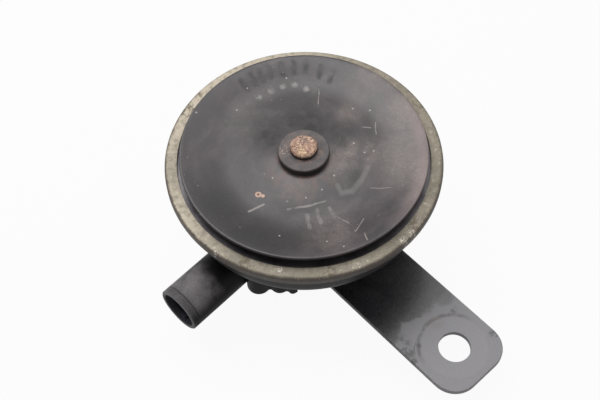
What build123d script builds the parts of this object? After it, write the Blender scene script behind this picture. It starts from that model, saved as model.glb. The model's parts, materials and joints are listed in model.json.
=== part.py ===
"""Electromagnetic disc horn for a car, on a flat strip bracket.

Frame, in millimetres: the origin is the centre of the bracket hole on the strip's
rear face, +X runs along the strip from the horn's axis to the hole, and +Z leaves
the rear face towards the tone disc. Every piece of the horn is made about the
horn's own axis and then set at horn_x. Heights are stacked from the strip upwards.
"""

import os
from math import asin, cos, degrees, radians, sin, sqrt

from build123d import *

os.makedirs("parts", exist_ok=True)

# ---------------------------------------------------------------- driving sizes
# bracket strip
strip_t = 2.0
strip_w = 27.4
strip_end = 13.1            # from the hole's centre to the outer end
strip_corner_r = 8.5
hole_offset = 70.8          # from the horn's axis to the bracket hole
hole_r = 5.25               # clearance for an M10 bolt
strip_edge_r = 0.35

# steel housing: shallow bowl over a deep pot, one drawn sheet
sheet_t = 1.0
pot_r = 27.0
flange_w = 1.65             # from the bowl's side to the flange's outer edge
bowl_floor_w = 15.05        # from the pot's side to the bowl's side
pot_h = 16.1
pot_bend_r = 3.0            # outside radius of the bend at the pot's floor
throat_bend_r = 0.8         # under the bowl's floor, where the pot begins
bowl_h = 13.8               # bowl floor's underside to the rim flange's underside
bowl_bend_r = 6.0
flange_bend_r = 0.3         # under the flange
stud_fit = 0.1              # radial play of the stud in the housing and the strip

# crimped rim
ring_face = 4.0             # width of the ring's top, edge to edge
ring_t = 0.9
ring_bend_r = 1.2
ring_lip = 2.5              # width of the turned-in lip under the flange
rim_fit = 0.1               # play between the stacked discs and the crimp's bend
gasket_t = 0.3
diaphragm_t = 0.4
diaphragm_roll_in = 5.5     # middle of the stiffening roll, inside the ring's inner edge
diaphragm_roll_w = 4.4
diaphragm_roll_h = 0.9

# moving group
disc_gap = 1.0              # between the disc's edge and the ring's inner edge
disc_t = 1.0
disc_hub_margin = 0.92      # flat hub showing round the centre washer
disc_valley_r = 24.0        # lowest circle of the dish, round the raised hub
disc_valley_drop = 0.5      # of that circle below the hub
disc_dish_rise = 2.4        # from there up to the rim
disc_rim_w = 4.0
disc_rim_rise = 0.7
disc_edge_r = 0.45
spacer_r = 8.0
spacer_t = 1.28
boss_r = 8.28
boss_t = 2.6
boss_edge_r = 0.5
head_r = 4.16
head_t = 2.06
head_edge_r = 0.9
shank_r = 2.9
shank_fit = 0.05
rivet_tail = 9.0            # depth of the shank inside the armature
collar_w = 5.0              # of the collar round the armature
collar_t = 2.5
pole_margin = 1.0           # of the armature over the core
armature_l = 13.4           # collar's top to the pole face
armature_bevel = 0.5
air_gap = 0.8

# magnet
core_r = 9.5
stud_r = 4.0
stud_tail = 1.2             # thread showing past the nut
stud_bevel = 0.8
nut_h = 6.5
nut_af = 13.0
nut_bevel = 0.6
lock_t = 2.0
lock_r = 7.4
lock_split = 1.6
yoke_t = 1.5
yoke_inset = 2.05           # from the yoke plate's edge to the bend of the bowl
yoke_gap = 1.5              # between the armature and the yoke plate
yoke_rivet_r = 1.6
yoke_rivet_head_r = 2.6
yoke_rivet_inset = 3.4      # from the yoke plate's edge to the middle of its rivets
rivet_head_t = 0.9
bobbin_fit = 0.2
bobbin_wall = 1.0
bobbin_flange_t = 1.2
winding_w = 8.25            # radial build of the winding
winding_inset = 1.5         # of the winding inside the bobbin's flanges
winding_fit = 0.05
bobbin_top_gap = 0.2

# contact breaker, on a chord that runs under the collar's edge
breaker_w = 8.0
breaker_corner_r = 1.5
stack_inset = 4.5           # of the stack's middle, from the place opposite the adjuster
stack_l = 10.0
stack_rivet_pitch = 5.0
stack_rivet_r = 1.2
stack_head_t = 0.8
bush_r = 1.9
bush_fit = 0.05
spring_t = 0.4
spring_w = 6.4
spring_overrun = 4.0        # end of the spring past the contact
spring_gap = 0.35           # collar to spring at rest
arm_t = 1.0
arm_overrun = 3.0           # end of the arm past the adjuster
point_p = 10.0
point_r = 2.0
point_t = 0.8
top_insulator_t = 0.8
low_insulator_t = 0.7
bracket_t = 1.5
bracket_bend_r = 1.9
adjuster_r = 2.0
adjuster_head_r = 2.8
adjuster_head_t = 2.0
adjuster_slot = 0.8
adjuster_fit = 0.1

# terminal cover with its socket tube, on the pot's side
tube_angle = -86.7          # direction of the tube about the horn's axis
tube_r = 7.8
tube_wall = 1.45
tube_l = 31.2               # from the cover's inner face to the mouth
tube_drop = 8.1             # tube axis below the cover's top face
mouth_chamfer = 0.3
socket_l = 22.2             # depth of the socket
seal_t = 0.8
seal_margin = 0.1
cover_h = 14.0
cover_gap = 0.4             # cover to pot
cover_depth = 5.6           # from its inner face to its outer face
cover_w = 42.2              # across its two ends, at the outer face
cover_wall = 1.5
cover_edge_r = 0.8
ear_r = 4.0
ear_out = 5.9               # ears, ribs and beads stand this far out from the inner face
ear_pitch = 19.25           # and this far apart across the tube
rib_r = 3.3
rib_out = 3.7
rib_pitch = 29.7
bead_r = 1.6
bead_out = 4.8
bead_pitch = 38.6
valley_r = 1.0              # rounding between them
ear_floor_t = 2.6           # plastic left above the screw's counterbore
cover_screw_r = 1.5
cover_screw_head_r = 2.6
cover_screw_head_t = 1.9
cover_screw_end = 2.4       # screw standing past the bowl's floor
counterbore_r = 3.0
screw_fit = 0.1
cover_recess_w = 0.9        # slots of the cross recess in the screw's head
pocket_land = 3.3           # from a screw's middle to the pocket beside it
pocket_end_wall = 1.7       # between a pocket and the cover's end
pocket_floor_t = 1.5
key_w = 2.0                 # rib inside the socket that keys the plug
key_h = 0.9
key_inset = 1.2
mouth_line = 1.7            # moulding line near the mouth
mouth_line_w = 0.3
mouth_line_depth = 0.12
blade_w = 6.3
blade_t = 0.8
blade_pitch = 5.6           # between the two blades' middle planes
blade_tip_inset = 6.6       # of the tips inside the mouth
blade_root_out = 3.6        # middle of the two upright legs, from the cover's inner face
blade_leg_pitch = 2.8
blade_rise = 3.4            # legs standing above the neck
neck_wall = 0.9
neck_fit = 0.15             # play round the neck
neck_rise = 1.0             # neck standing above the yoke plate
blade_bend_r = 1.2
blade_hole_r = 0.9
blade_hole_inset = 3.6
blade_bevel = 0.9

past = 1.0                  # cutters stand past a face by this much

# ---------------------------------------------------------------- worked-out places
horn_x = -hole_offset

bowl_r = pot_r + bowl_floor_w
stack_r = bowl_r + flange_w
ring_r = stack_r + rim_fit + ring_bend_r
ring_inner_r = ring_r - ring_face
diaphragm_roll_r = ring_inner_r - diaphragm_roll_in
disc_r = ring_inner_r - disc_gap
disc_dish_r = disc_r - disc_rim_w
disc_hub_r = boss_r + disc_hub_margin
bore_r = core_r + bobbin_fit
bobbin_tube_r = bore_r + bobbin_wall
winding_r = bobbin_tube_r + winding_fit + winding_w
bobbin_r = winding_r + winding_inset
armature_r = core_r + pole_margin
collar_r = armature_r + collar_w
yoke_r = bowl_r - bowl_bend_r - yoke_inset
yoke_bore_r = armature_r + yoke_gap
yoke_rivet_circle_r = yoke_r - yoke_rivet_inset

pot_floor_z = strip_t
bowl_floor_z = pot_floor_z + pot_h
flange_z = bowl_floor_z + bowl_h
lower_gasket_z = flange_z + sheet_t
diaphragm_z = lower_gasket_z + gasket_t
upper_gasket_z = diaphragm_z + diaphragm_t
ring_top_z = upper_gasket_z + gasket_t + ring_t
ring_bottom_z = flange_z - ring_t

spacer_z = diaphragm_z + diaphragm_t
disc_z = spacer_z + spacer_t
boss_z = disc_z + disc_t
head_z = boss_z + boss_t
collar_z = diaphragm_z - collar_t
pole_z = diaphragm_z - armature_l
core_z = pole_z - air_gap

pot_inside_z = pot_floor_z + sheet_t
bowl_inside_z = bowl_floor_z + sheet_t
yoke_top_z = bowl_inside_z + yoke_t
bobbin_top_z = bowl_inside_z - bobbin_top_gap
shank_bore_r = shank_r + shank_fit
stud_bore_r = stud_r + stud_fit

breaker_q = collar_r
adjuster_p = sqrt(yoke_rivet_circle_r ** 2 - breaker_q ** 2)
arm_reach = adjuster_p + arm_overrun
spring_reach = point_p + spring_overrun
stack_p = stack_inset - adjuster_p
stack_p0 = stack_p - stack_l / 2
stack_p1 = stack_p + stack_l / 2
spring_z = collar_z - spring_gap - spring_t
arm_z = spring_z - 2 * point_t - arm_t
mid_insulator_t = 2 * point_t
shelf_z = arm_z - low_insulator_t - bracket_t
shelf_top_z = shelf_z + bracket_t
top_insulator_z = spring_z + spring_t
stack_top_z = top_insulator_z + top_insulator_t
adjuster_hole_r = adjuster_r + adjuster_fit

cover_top_z = bowl_floor_z - seal_t
cover_bottom_z = cover_top_z - cover_h
tube_z = cover_top_z - tube_drop
socket_r = tube_r - tube_wall
cover_inner_r = pot_r + cover_gap
cover_r = cover_inner_r + cover_depth
ear_place_r = cover_inner_r + ear_out
rib_place_r = cover_inner_r + rib_out
bead_place_r = cover_inner_r + bead_out
tube_end = cover_inner_r + tube_l
socket_floor = tube_end - socket_l
blade_tip = tube_end - blade_tip_inset
blade_root = cover_inner_r + blade_root_out
neck_l = blade_leg_pitch + blade_t + 2 * neck_wall
neck_x0 = blade_root - neck_l / 2
neck_x1 = blade_root + neck_l / 2
neck_w = blade_w + 2 * neck_wall
neck_top_z = yoke_top_z + neck_rise
blade_top_z = neck_top_z + blade_rise
seal_inner_r = pot_r + throat_bend_r + seal_margin
notch_w = ear_pitch + 2 * cover_screw_head_r

to_horn = Pos(horn_x, 0, 0)
to_tube = to_horn * Rot(0, 0, tube_angle)
to_breaker = to_horn * Rot(0, 0, tube_angle + 90)


# ---------------------------------------------------------------- helpers
def upright(radius, z, height):
    """Cylinder about the axis, standing on height z."""
    return Pos(0, 0, z) * Cylinder(radius, height, align=(Align.CENTER, Align.CENTER, Align.MIN))


def hole(radius, z, height):
    """Cutter for a round hole through a piece, standing past both of its faces."""
    return upright(radius, z - past, height + 2 * past)


def plate_ring(inner, outer, z, height):
    """Flat washer standing on height z."""
    return upright(outer, z, height) - hole(inner, z, height)


def block(x0, x1, width, z0, z1):
    """Box between two x and two z values, centred on y."""
    size = Box(x1 - x0, width, z1 - z0, align=(Align.MIN, Align.CENTER, Align.MIN))
    return Pos(x0, 0, z0) * size


def band(line, thickness, side):
    """Closed section of a bent sheet: a line in radius and height, thickened to one side."""
    return make_face(offset(line, thickness, side=side, closed=True))


def turned(section):
    """Revolve a section drawn in radius and height about the horn's axis."""
    return revolve(Plane.XZ * section, Axis.Z, 360)


def bent(section, width):
    """Extrude a section drawn in x and z to a strip centred on y."""
    return extrude(Plane.XZ * section, width / 2, both=True)


def polar(radius, angle):
    """Point of the plan at a radius and an angle in degrees."""
    return (radius * cos(radians(angle)), radius * sin(radians(angle)))


def angle_of(radius, across):
    """Angle in degrees of the point at a radius that lies this far across the x axis."""
    return degrees(asin(across / radius))


def wedge(start, end):
    """Plan between two angles, from the axis to well outside the cover."""
    reach = 2 * cover_r
    return make_face(Polyline((0, 0), polar(reach, start), polar(reach, end), close=True))


def pair(radius, pitch):
    """Two places at a radius, on either side of the tube."""
    angle = angle_of(radius, pitch / 2)
    return [Pos(*polar(radius, side * angle)) for side in (-1, 1)]


def save(name, shape, place):
    """Set a piece in the row's frame and write its file."""
    export_step(place * shape, f"parts/{name}.step")


# ---------------------------------------------------------------- bracket and its fastening
def make_strip():
    bar = Pos((horn_x + strip_end) / 2, 0) * Rectangle(strip_end - horn_x, strip_w)
    bar = fillet(bar.vertices().group_by(Axis.X)[-1], strip_corner_r)
    plan = bar + Pos(horn_x, 0) * Circle(strip_w / 2)
    strip = extrude(plan, strip_t)
    rims = strip.edges().group_by(Axis.Z)
    strip = fillet(rims[0] + rims[-1], strip_edge_r)
    strip -= hole(hole_r, 0, strip_t)
    return strip - Pos(horn_x, 0) * hole(stud_bore_r, 0, strip_t)


def make_lock_washer():
    washer = plate_ring(stud_bore_r, lock_r, -lock_t, lock_t)
    cut = Pos(lock_r, 0, -lock_t / 2) * Rot(30, 0, 0) * Box(lock_r, lock_split, 4 * lock_t)
    return washer - cut


def make_nut():
    z = -lock_t - nut_h
    corner_r = nut_af / 2 / cos(radians(30))
    prism = Pos(0, 0, z) * extrude(RegularPolygon(nut_af / 2, 6, major_radius=False), nut_h)
    turned_blank = upright(corner_r, z, nut_h)
    turned_blank = chamfer(turned_blank.edges().filter_by(GeomType.CIRCLE), nut_bevel, 2 * nut_bevel)
    return (prism & turned_blank) - hole(stud_bore_r, z, nut_h)


# ---------------------------------------------------------------- shell and crimped rim
def make_housing():
    outside = FilletPolyline(
        (stack_r, flange_z),
        (bowl_r, flange_z),
        (bowl_r, bowl_floor_z),
        (pot_r, bowl_floor_z),
        (pot_r, pot_floor_z),
        (stud_bore_r, pot_floor_z),
        radius=[flange_bend_r, bowl_bend_r, throat_bend_r, pot_bend_r],
    )
    return turned(band(outside, sheet_t, Side.RIGHT))


def make_ring():
    outside = FilletPolyline(
        (ring_inner_r, ring_top_z),
        (ring_r, ring_top_z),
        (ring_r, ring_bottom_z),
        (ring_r - ring_lip, ring_bottom_z),
        radius=[ring_bend_r, ring_bend_r],
    )
    return turned(band(outside, ring_t, Side.RIGHT))


def make_gasket(z):
    return plate_ring(ring_inner_r + rim_fit, stack_r, z, gasket_t)


def make_diaphragm():
    roll_start = diaphragm_roll_r - diaphragm_roll_w / 2
    roll_end = diaphragm_roll_r + diaphragm_roll_w / 2
    flat = Line((shank_bore_r, diaphragm_z), (roll_start, diaphragm_z))
    roll = ThreePointArc(
        (roll_start, diaphragm_z),
        (diaphragm_roll_r, diaphragm_z + diaphragm_roll_h),
        (roll_end, diaphragm_z),
    )
    rim = Line((roll_end, diaphragm_z), (stack_r, diaphragm_z))
    return turned(band(Wire([flat, roll, rim]), diaphragm_t, Side.LEFT))


# ---------------------------------------------------------------- moving group
def make_tone_disc():
    valley_z = disc_z - disc_valley_drop
    rim_z = valley_z + disc_dish_rise
    hub = Line((shank_bore_r, disc_z), (disc_hub_r, disc_z))
    inner = TangentArc((disc_valley_r, valley_z), (disc_hub_r, disc_z), tangent=(-1, 0))
    outer = TangentArc((disc_valley_r, valley_z), (disc_dish_r, rim_z), tangent=(1, 0))
    rim = Line((disc_dish_r, rim_z), (disc_r, rim_z + disc_rim_rise))
    section = band(Wire([hub, inner, outer, rim]), disc_t, Side.LEFT)
    section = fillet(section.vertices().group_by(Axis.X)[-1], disc_edge_r)
    return turned(section)


def make_boss():
    boss = plate_ring(shank_bore_r, boss_r, boss_z, boss_t)
    top_rim = boss.edges().filter_by(GeomType.CIRCLE).group_by(Axis.Z)[-1].sort_by(SortBy.RADIUS)[-1]
    return fillet(top_rim, boss_edge_r)


def make_rivet():
    head = upright(head_r, head_z, head_t)
    head = fillet(head.edges().group_by(Axis.Z)[-1], head_edge_r)
    tail_z = diaphragm_z - rivet_tail
    return head + upright(shank_r, tail_z, head_z - tail_z)


def make_spacer():
    return plate_ring(shank_bore_r, spacer_r, spacer_z, spacer_t)


def make_armature():
    collar = upright(collar_r, collar_z, collar_t)
    plunger = upright(armature_r, pole_z, armature_l)
    body = chamfer((collar + plunger).edges().group_by(Axis.Z)[0], armature_bevel)
    return body - upright(shank_bore_r, diaphragm_z - rivet_tail, 2 * rivet_tail)


# ---------------------------------------------------------------- magnet
def make_core():
    core = upright(core_r, pot_inside_z, core_z - pot_inside_z)
    stud_end = -lock_t - nut_h - stud_tail
    stud = upright(stud_r, stud_end, pot_inside_z - stud_end)
    return core + chamfer(stud.edges().group_by(Axis.Z)[0], stud_bevel)


def make_bobbin():
    height = bobbin_top_z - pot_inside_z
    tube = plate_ring(bore_r, bobbin_tube_r, pot_inside_z, height)
    low = plate_ring(bore_r, bobbin_r, pot_inside_z, bobbin_flange_t)
    high = plate_ring(bore_r, bobbin_r, bobbin_top_z - bobbin_flange_t, bobbin_flange_t)
    return tube + low + high


def make_winding():
    low = pot_inside_z + bobbin_flange_t
    high = bobbin_top_z - bobbin_flange_t
    return plate_ring(bobbin_tube_r + winding_fit, winding_r, low, high - low)


def yoke_rivet_places():
    """Three places on the yoke plate, in the breaker's frame."""
    return [Pos(*polar(yoke_rivet_circle_r, angle)) for angle in (90, 210, 330)]


def make_yoke():
    plate = plate_ring(yoke_bore_r, yoke_r, bowl_inside_z, yoke_t)
    for place in yoke_rivet_places():
        plate -= place * hole(yoke_rivet_r, bowl_inside_z, yoke_t)
    plate -= Pos(adjuster_p, breaker_q) * hole(adjuster_hole_r, bowl_inside_z, yoke_t)
    notch = block(neck_x0 - neck_fit, yoke_r + past, notch_w, bowl_inside_z - past, yoke_top_z + past)
    return plate - Rot(0, 0, -90) * notch


def make_yoke_rivets():
    shank = upright(yoke_rivet_r, bowl_floor_z, sheet_t + yoke_t)
    rivet = shank + upright(yoke_rivet_head_r, bowl_floor_z - rivet_head_t, rivet_head_t)
    rivet += upright(yoke_rivet_head_r, yoke_top_z, rivet_head_t)
    ends = rivet.edges().filter_by(GeomType.CIRCLE).group_by(Axis.Z)
    rivet = fillet(ends[0] + ends[-1], rivet_head_t / 2)
    return Compound([place * rivet for place in yoke_rivet_places()])


# ---------------------------------------------------------------- contact breaker
def breaker_strip(p0, p1, width, z, thickness):
    """Flat strip on the chord, with rounded corners."""
    plan = Pos((p0 + p1) / 2, breaker_q) * RectangleRounded(p1 - p0, width, breaker_corner_r)
    return Pos(0, 0, z) * extrude(plan, thickness)


def stack_rivet_places():
    """Two places on the chord, side by side through the stack."""
    return [Pos(stack_p + side * stack_rivet_pitch / 2, breaker_q) for side in (-1, 1)]


def stack_holes(radius, z, thickness):
    """Cutters for the two stack rivets through a strip."""
    return [place * hole(radius, z, thickness) for place in stack_rivet_places()]


def stack_strip(p1, width, z, thickness, hole_r):
    """Strip of the stack, from its outer end to p1."""
    return breaker_strip(stack_p0, p1, width, z, thickness) - stack_holes(hole_r, z, thickness)


def stack_insulator(z, thickness, bush_h):
    """Insulating strip whose bushes line the holes of the metal strip above it."""
    body = breaker_strip(stack_p0, stack_p1, breaker_w, z, thickness)
    for place in stack_rivet_places():
        body += place * upright(bush_r, z, thickness + bush_h)
    return body - stack_holes(stack_rivet_r + bush_fit, z, thickness + bush_h)


def make_insulators():
    low = stack_insulator(shelf_top_z, low_insulator_t, arm_t)
    middle = stack_insulator(arm_z + arm_t, mid_insulator_t, spring_t)
    top = stack_strip(stack_p1, breaker_w, top_insulator_z, top_insulator_t, stack_rivet_r + bush_fit)
    return Compound([low, middle, top])


def make_arm():
    return stack_strip(arm_reach, breaker_w, arm_z, arm_t, bush_r + bush_fit)


def make_contact_spring():
    return stack_strip(spring_reach, spring_w, spring_z, spring_t, bush_r + bush_fit)


def make_point(z):
    return Pos(point_p, breaker_q) * upright(point_r, z, point_t)


def make_stack_rivets():
    rivet = upright(stack_rivet_r, shelf_z, stack_top_z - shelf_z)
    rivet += upright(bush_r, stack_top_z, stack_head_t)
    rivet += upright(bush_r, shelf_z - stack_head_t, stack_head_t)
    return Compound([place * rivet for place in stack_rivet_places()])


def make_breaker_bracket():
    outer_p = stack_p0 - bracket_t
    section = FilletPolyline(
        (stack_p1, yoke_top_z),
        (outer_p, yoke_top_z),
        (outer_p, shelf_top_z),
        (stack_p1, shelf_top_z),
        radius=[bracket_bend_r, bracket_bend_r],
    )
    bracket = Pos(0, breaker_q, 0) * bent(band(section, bracket_t, Side.RIGHT), breaker_w)
    return bracket - stack_holes(stack_rivet_r + bush_fit, shelf_z, bracket_t)


def make_adjuster():
    head_low_z = bowl_floor_z - adjuster_head_t
    screw = upright(adjuster_r, bowl_floor_z, arm_z - bowl_floor_z)
    screw += upright(adjuster_head_r, head_low_z, adjuster_head_t)
    screw -= Pos(0, 0, head_low_z) * Box(3 * adjuster_head_r, adjuster_slot, adjuster_head_t)
    return Pos(adjuster_p, breaker_q) * screw


def drill_housing(housing):
    """Open the shell for the rivets, the adjuster, the cover's screws and its neck."""
    turn = Rot(0, 0, 90)
    for place in yoke_rivet_places():
        housing -= turn * place * hole(yoke_rivet_r, bowl_floor_z, sheet_t)
    housing -= turn * Pos(adjuster_p, breaker_q) * hole(adjuster_hole_r, bowl_floor_z, sheet_t)
    for place in ear_places():
        housing -= place * hole(cover_screw_r, bowl_floor_z, sheet_t)
    return housing - neck_window()


# ---------------------------------------------------------------- terminal cover
def ear_places():
    return pair(ear_place_r, ear_pitch)


def neck_window():
    """Cutter round the cover's neck, through the seal and the bowl's floor."""
    x0, x1 = neck_x0 - neck_fit, neck_x1 + neck_fit
    return block(x0, x1, neck_w + 2 * neck_fit, cover_top_z - past, bowl_inside_z + past)


def cover_plan(inner_r):
    """Plan of the cover: an arc beside the pot, with ears, ribs and end beads."""
    half_angle = angle_of(cover_r, cover_w / 2)
    plan = Circle(cover_r) & wedge(-half_angle, half_angle)
    plan += [place * Circle(ear_r) for place in ear_places()]
    plan += [place * Circle(rib_r) for place in pair(rib_place_r, rib_pitch)]
    plan += [place * Circle(bead_r) for place in pair(bead_place_r, bead_pitch)]
    plan = offset(offset(plan, valley_r), -valley_r)
    return plan - Circle(inner_r)


def along_tube(radius, x0, x1):
    """Cylinder on the tube's axis between two x values."""
    return Pos(x0, 0, tube_z) * Rot(0, 90, 0) * upright(radius, 0, x1 - x0)


def cover_pocket(side):
    """Curved pocket that cores out one wing of the cover."""
    depth = cover_h - pocket_floor_t
    start = side * angle_of(cover_r, ear_pitch / 2 + pocket_land)
    end = side * angle_of(cover_r, cover_w / 2 - pocket_end_wall)
    plan = (Circle(cover_r - cover_wall) - Circle(cover_inner_r + cover_wall)) & wedge(start, end)
    return Pos(0, 0, cover_top_z - depth) * extrude(plan, depth + past)


def make_cover():
    body = Pos(0, 0, cover_bottom_z) * extrude(cover_plan(cover_inner_r), cover_h)
    body = fillet(body.edges().group_by(Axis.Z)[0], cover_edge_r)
    tube = along_tube(tube_r, pot_r - tube_r, tube_end)
    tube -= hole(cover_inner_r, tube_z - tube_r, 2 * tube_r)
    cover = body + tube
    for side in (-1, 1):
        cover -= cover_pocket(side)
    cover += block(neck_x0, neck_x1, neck_w, cover_top_z, neck_top_z)
    cover -= along_tube(socket_r, socket_floor, tube_end + past)
    cover = chamfer(cover.faces().sort_by(Axis.X)[-1].edges(), mouth_chamfer)
    cover += make_key()
    line_x = tube_end - mouth_line
    line = along_tube(tube_r + past, line_x, line_x + mouth_line_w)
    cover -= line - along_tube(tube_r - mouth_line_depth, line_x - past, line_x + past)
    counterbore_h = cover_h - ear_floor_t
    for place in ear_places():
        cover -= place * hole(cover_screw_r, cover_bottom_z, cover_h)
        cover -= place * upright(counterbore_r, cover_bottom_z - past, counterbore_h + past)
    return cover - make_blade(1) - make_blade(-1)


def make_key():
    """Rib along the socket's floor side that keys the plug."""
    x0, x1 = socket_floor, tube_end - key_inset
    rib = block(x0, x1, key_w, tube_z - tube_r + tube_wall / 2, tube_z - socket_r + key_h)
    return rib & along_tube(tube_r - tube_wall / 4, x0 - past, x1 + past)


def make_seal():
    seal = Pos(0, 0, cover_top_z) * extrude(cover_plan(seal_inner_r), seal_t)
    for place in ear_places():
        seal -= place * hole(cover_screw_r + screw_fit, cover_top_z, seal_t)
    return seal - neck_window()


def make_cover_screws():
    head_z0 = cover_top_z - ear_floor_t - cover_screw_head_t
    length = bowl_inside_z + cover_screw_end - head_z0
    screw = upright(cover_screw_r, head_z0, length)
    screw = chamfer(screw.edges().group_by(Axis.Z)[-1], cover_screw_r / 2)
    head = upright(cover_screw_head_r, head_z0, cover_screw_head_t)
    head = fillet(head.edges().group_by(Axis.Z)[0], cover_screw_head_t / 2)
    slot = Box(cover_screw_head_r, cover_recess_w, cover_screw_head_t)
    recess = Pos(0, 0, head_z0) * (slot + Rot(0, 0, 90) * slot)
    return Compound([place * (screw + head - recess) for place in ear_places()])


def make_blade(level):
    """Bent tab: upright leg through the neck, blade along the socket."""
    leg_x = blade_root + level * blade_leg_pitch / 2 - blade_t / 2
    blade_z = tube_z + level * blade_pitch / 2 - blade_t / 2
    line = FilletPolyline(
        (leg_x, blade_top_z), (leg_x, blade_z), (blade_tip, blade_z), radius=[blade_bend_r]
    )
    blade = bent(band(line, blade_t, Side.LEFT), blade_w)
    tip_corners = blade.edges().filter_by(Axis.Z).group_by(Axis.X)[-1]
    blade = chamfer(tip_corners, blade_bevel)
    return blade - Pos(blade_tip - blade_hole_inset, 0) * hole(blade_hole_r, blade_z, blade_t)


# ---------------------------------------------------------------- write every piece
in_row = Pos(0, 0, 0)
save("mounting_strip", make_strip(), in_row)
save("lock_washer", make_lock_washer(), to_horn)
save("mounting_nut", make_nut(), to_horn)

save("housing", drill_housing(make_housing()), to_tube)
save("clamp_ring", make_ring(), to_horn)
save("lower_gasket", make_gasket(lower_gasket_z), to_horn)
save("diaphragm", make_diaphragm(), to_horn)
save("upper_gasket", make_gasket(upper_gasket_z), to_horn)

save("tone_disc", make_tone_disc(), to_horn)
save("centre_washer", make_boss(), to_horn)
save("centre_rivet", make_rivet(), to_horn)
save("hub_spacer", make_spacer(), to_horn)
save("armature", make_armature(), to_horn)

save("magnet_core", make_core(), to_horn)
save("coil_bobbin", make_bobbin(), to_horn)
save("coil_winding", make_winding(), to_horn)
save("yoke_plate", make_yoke(), to_breaker)
save("yoke_rivets", make_yoke_rivets(), to_breaker)

save("breaker_bracket", make_breaker_bracket(), to_breaker)
save("contact_insulators", make_insulators(), to_breaker)
save("fixed_contact_arm", make_arm(), to_breaker)
save("fixed_contact_point", make_point(arm_z + arm_t), to_breaker)
save("contact_spring", make_contact_spring(), to_breaker)
save("moving_contact_point", make_point(spring_z - point_t), to_breaker)
save("contact_rivets", make_stack_rivets(), to_breaker)
save("adjusting_screw", make_adjuster(), to_breaker)

save("terminal_cover", make_cover(), to_tube)
save("cover_seal", make_seal(), to_tube)
save("cover_screws", make_cover_screws(), to_tube)
save("upper_terminal_blade", make_blade(1), to_tube)
save("lower_terminal_blade", make_blade(-1), to_tube)
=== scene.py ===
# %% [markdown]
# # Disc horn of a car
#
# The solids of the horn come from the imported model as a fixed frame. This script gives
# every piece its finish, models the parts of the surface that solids leave out, and sets
# up the camera, the lamps and the floor.

# %% Load the frame
import json
from math import cos, pi, radians, sin, tau

import bpy
from mathutils import Matrix, Vector, noise


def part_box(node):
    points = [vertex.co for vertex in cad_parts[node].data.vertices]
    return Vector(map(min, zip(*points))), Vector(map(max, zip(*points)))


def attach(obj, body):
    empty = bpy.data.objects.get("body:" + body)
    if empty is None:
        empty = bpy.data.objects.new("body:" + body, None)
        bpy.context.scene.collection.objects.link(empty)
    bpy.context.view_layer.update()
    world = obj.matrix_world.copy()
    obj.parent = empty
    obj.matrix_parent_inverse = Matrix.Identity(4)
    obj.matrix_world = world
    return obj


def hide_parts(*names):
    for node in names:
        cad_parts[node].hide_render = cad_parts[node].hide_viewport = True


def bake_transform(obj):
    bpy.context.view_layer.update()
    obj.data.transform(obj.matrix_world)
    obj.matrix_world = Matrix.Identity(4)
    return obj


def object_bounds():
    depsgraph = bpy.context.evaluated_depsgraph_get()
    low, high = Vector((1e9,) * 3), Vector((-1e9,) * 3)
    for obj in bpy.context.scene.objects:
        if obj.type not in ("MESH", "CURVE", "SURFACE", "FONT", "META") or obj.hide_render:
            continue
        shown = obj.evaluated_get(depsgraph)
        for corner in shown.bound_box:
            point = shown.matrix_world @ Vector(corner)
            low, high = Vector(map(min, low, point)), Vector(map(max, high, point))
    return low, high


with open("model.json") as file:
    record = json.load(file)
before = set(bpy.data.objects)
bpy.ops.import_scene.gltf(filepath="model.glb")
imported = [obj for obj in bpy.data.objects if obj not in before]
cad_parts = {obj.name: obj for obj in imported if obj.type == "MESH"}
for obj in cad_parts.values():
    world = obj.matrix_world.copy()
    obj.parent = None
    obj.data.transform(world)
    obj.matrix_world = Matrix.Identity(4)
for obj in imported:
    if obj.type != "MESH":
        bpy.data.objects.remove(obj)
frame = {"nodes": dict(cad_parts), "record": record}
cad_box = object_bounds()
nodes = frame["nodes"]
slot_of = {part["node"]: part["material_slot"] for part in frame["record"]["subparts"]}
print("pieces", len(nodes), "CAD box", cad_box)

# %% [markdown]
# ## Places to measure from
#
# Wear and stains are laid out about the horn's own axis, because that is how a round
# thing is handled and how it rusts. The axis is read from the tone disc's box, so it
# follows the solids.

# %% Axis and heights
MM = 0.001
disc_low, disc_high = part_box("tone_disc")
ring_low, ring_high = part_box("clamp_ring")
horn_axis = (disc_low + disc_high) / 2
horn_axis.z = 0.0
print("horn axis", horn_axis, "ring top", ring_high.z)

# %% [markdown]
# ## Camera
#
# The horn lies on its back and is seen from well above, across its socket tube. A long
# lens keeps the round rim close to a true ellipse.

# %% Camera
camera_place = Vector((71.36, -127.46, 304.13)) * MM
camera_azimuth = radians(48.6)
camera_elevation = radians(57.09)
camera_roll = radians(-1.5)
sensor_w, lens = 36.0, 61.38        # millimetres, as on a real camera
nearest_seen = 0.01

camera_data = bpy.data.cameras.new("camera")
camera_data.sensor_width = sensor_w
camera_data.lens = lens
camera_data.clip_start = nearest_seen
camera = bpy.data.objects.new("camera", camera_data)
bpy.context.scene.collection.objects.link(camera)
turn = Matrix.Rotation(camera_azimuth, 4, "Z") @ Matrix.Rotation(pi / 2 - camera_elevation, 4, "X")
camera.matrix_world = Matrix.Translation(camera_place) @ turn @ Matrix.Rotation(camera_roll, 4, "Z")
bpy.context.scene.camera = camera
print("camera looks along", -camera.matrix_world.col[2].xyz)

# %% [markdown]
# ## Sockets that can be added up
#
# A finish is mostly masks: here is dust, there is a scratch. Written as nodes they are
# hard to read, so one small class wraps a socket and lets masks be added, multiplied and
# compared as in any sum. Its one other method adds a node of any kind.


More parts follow.
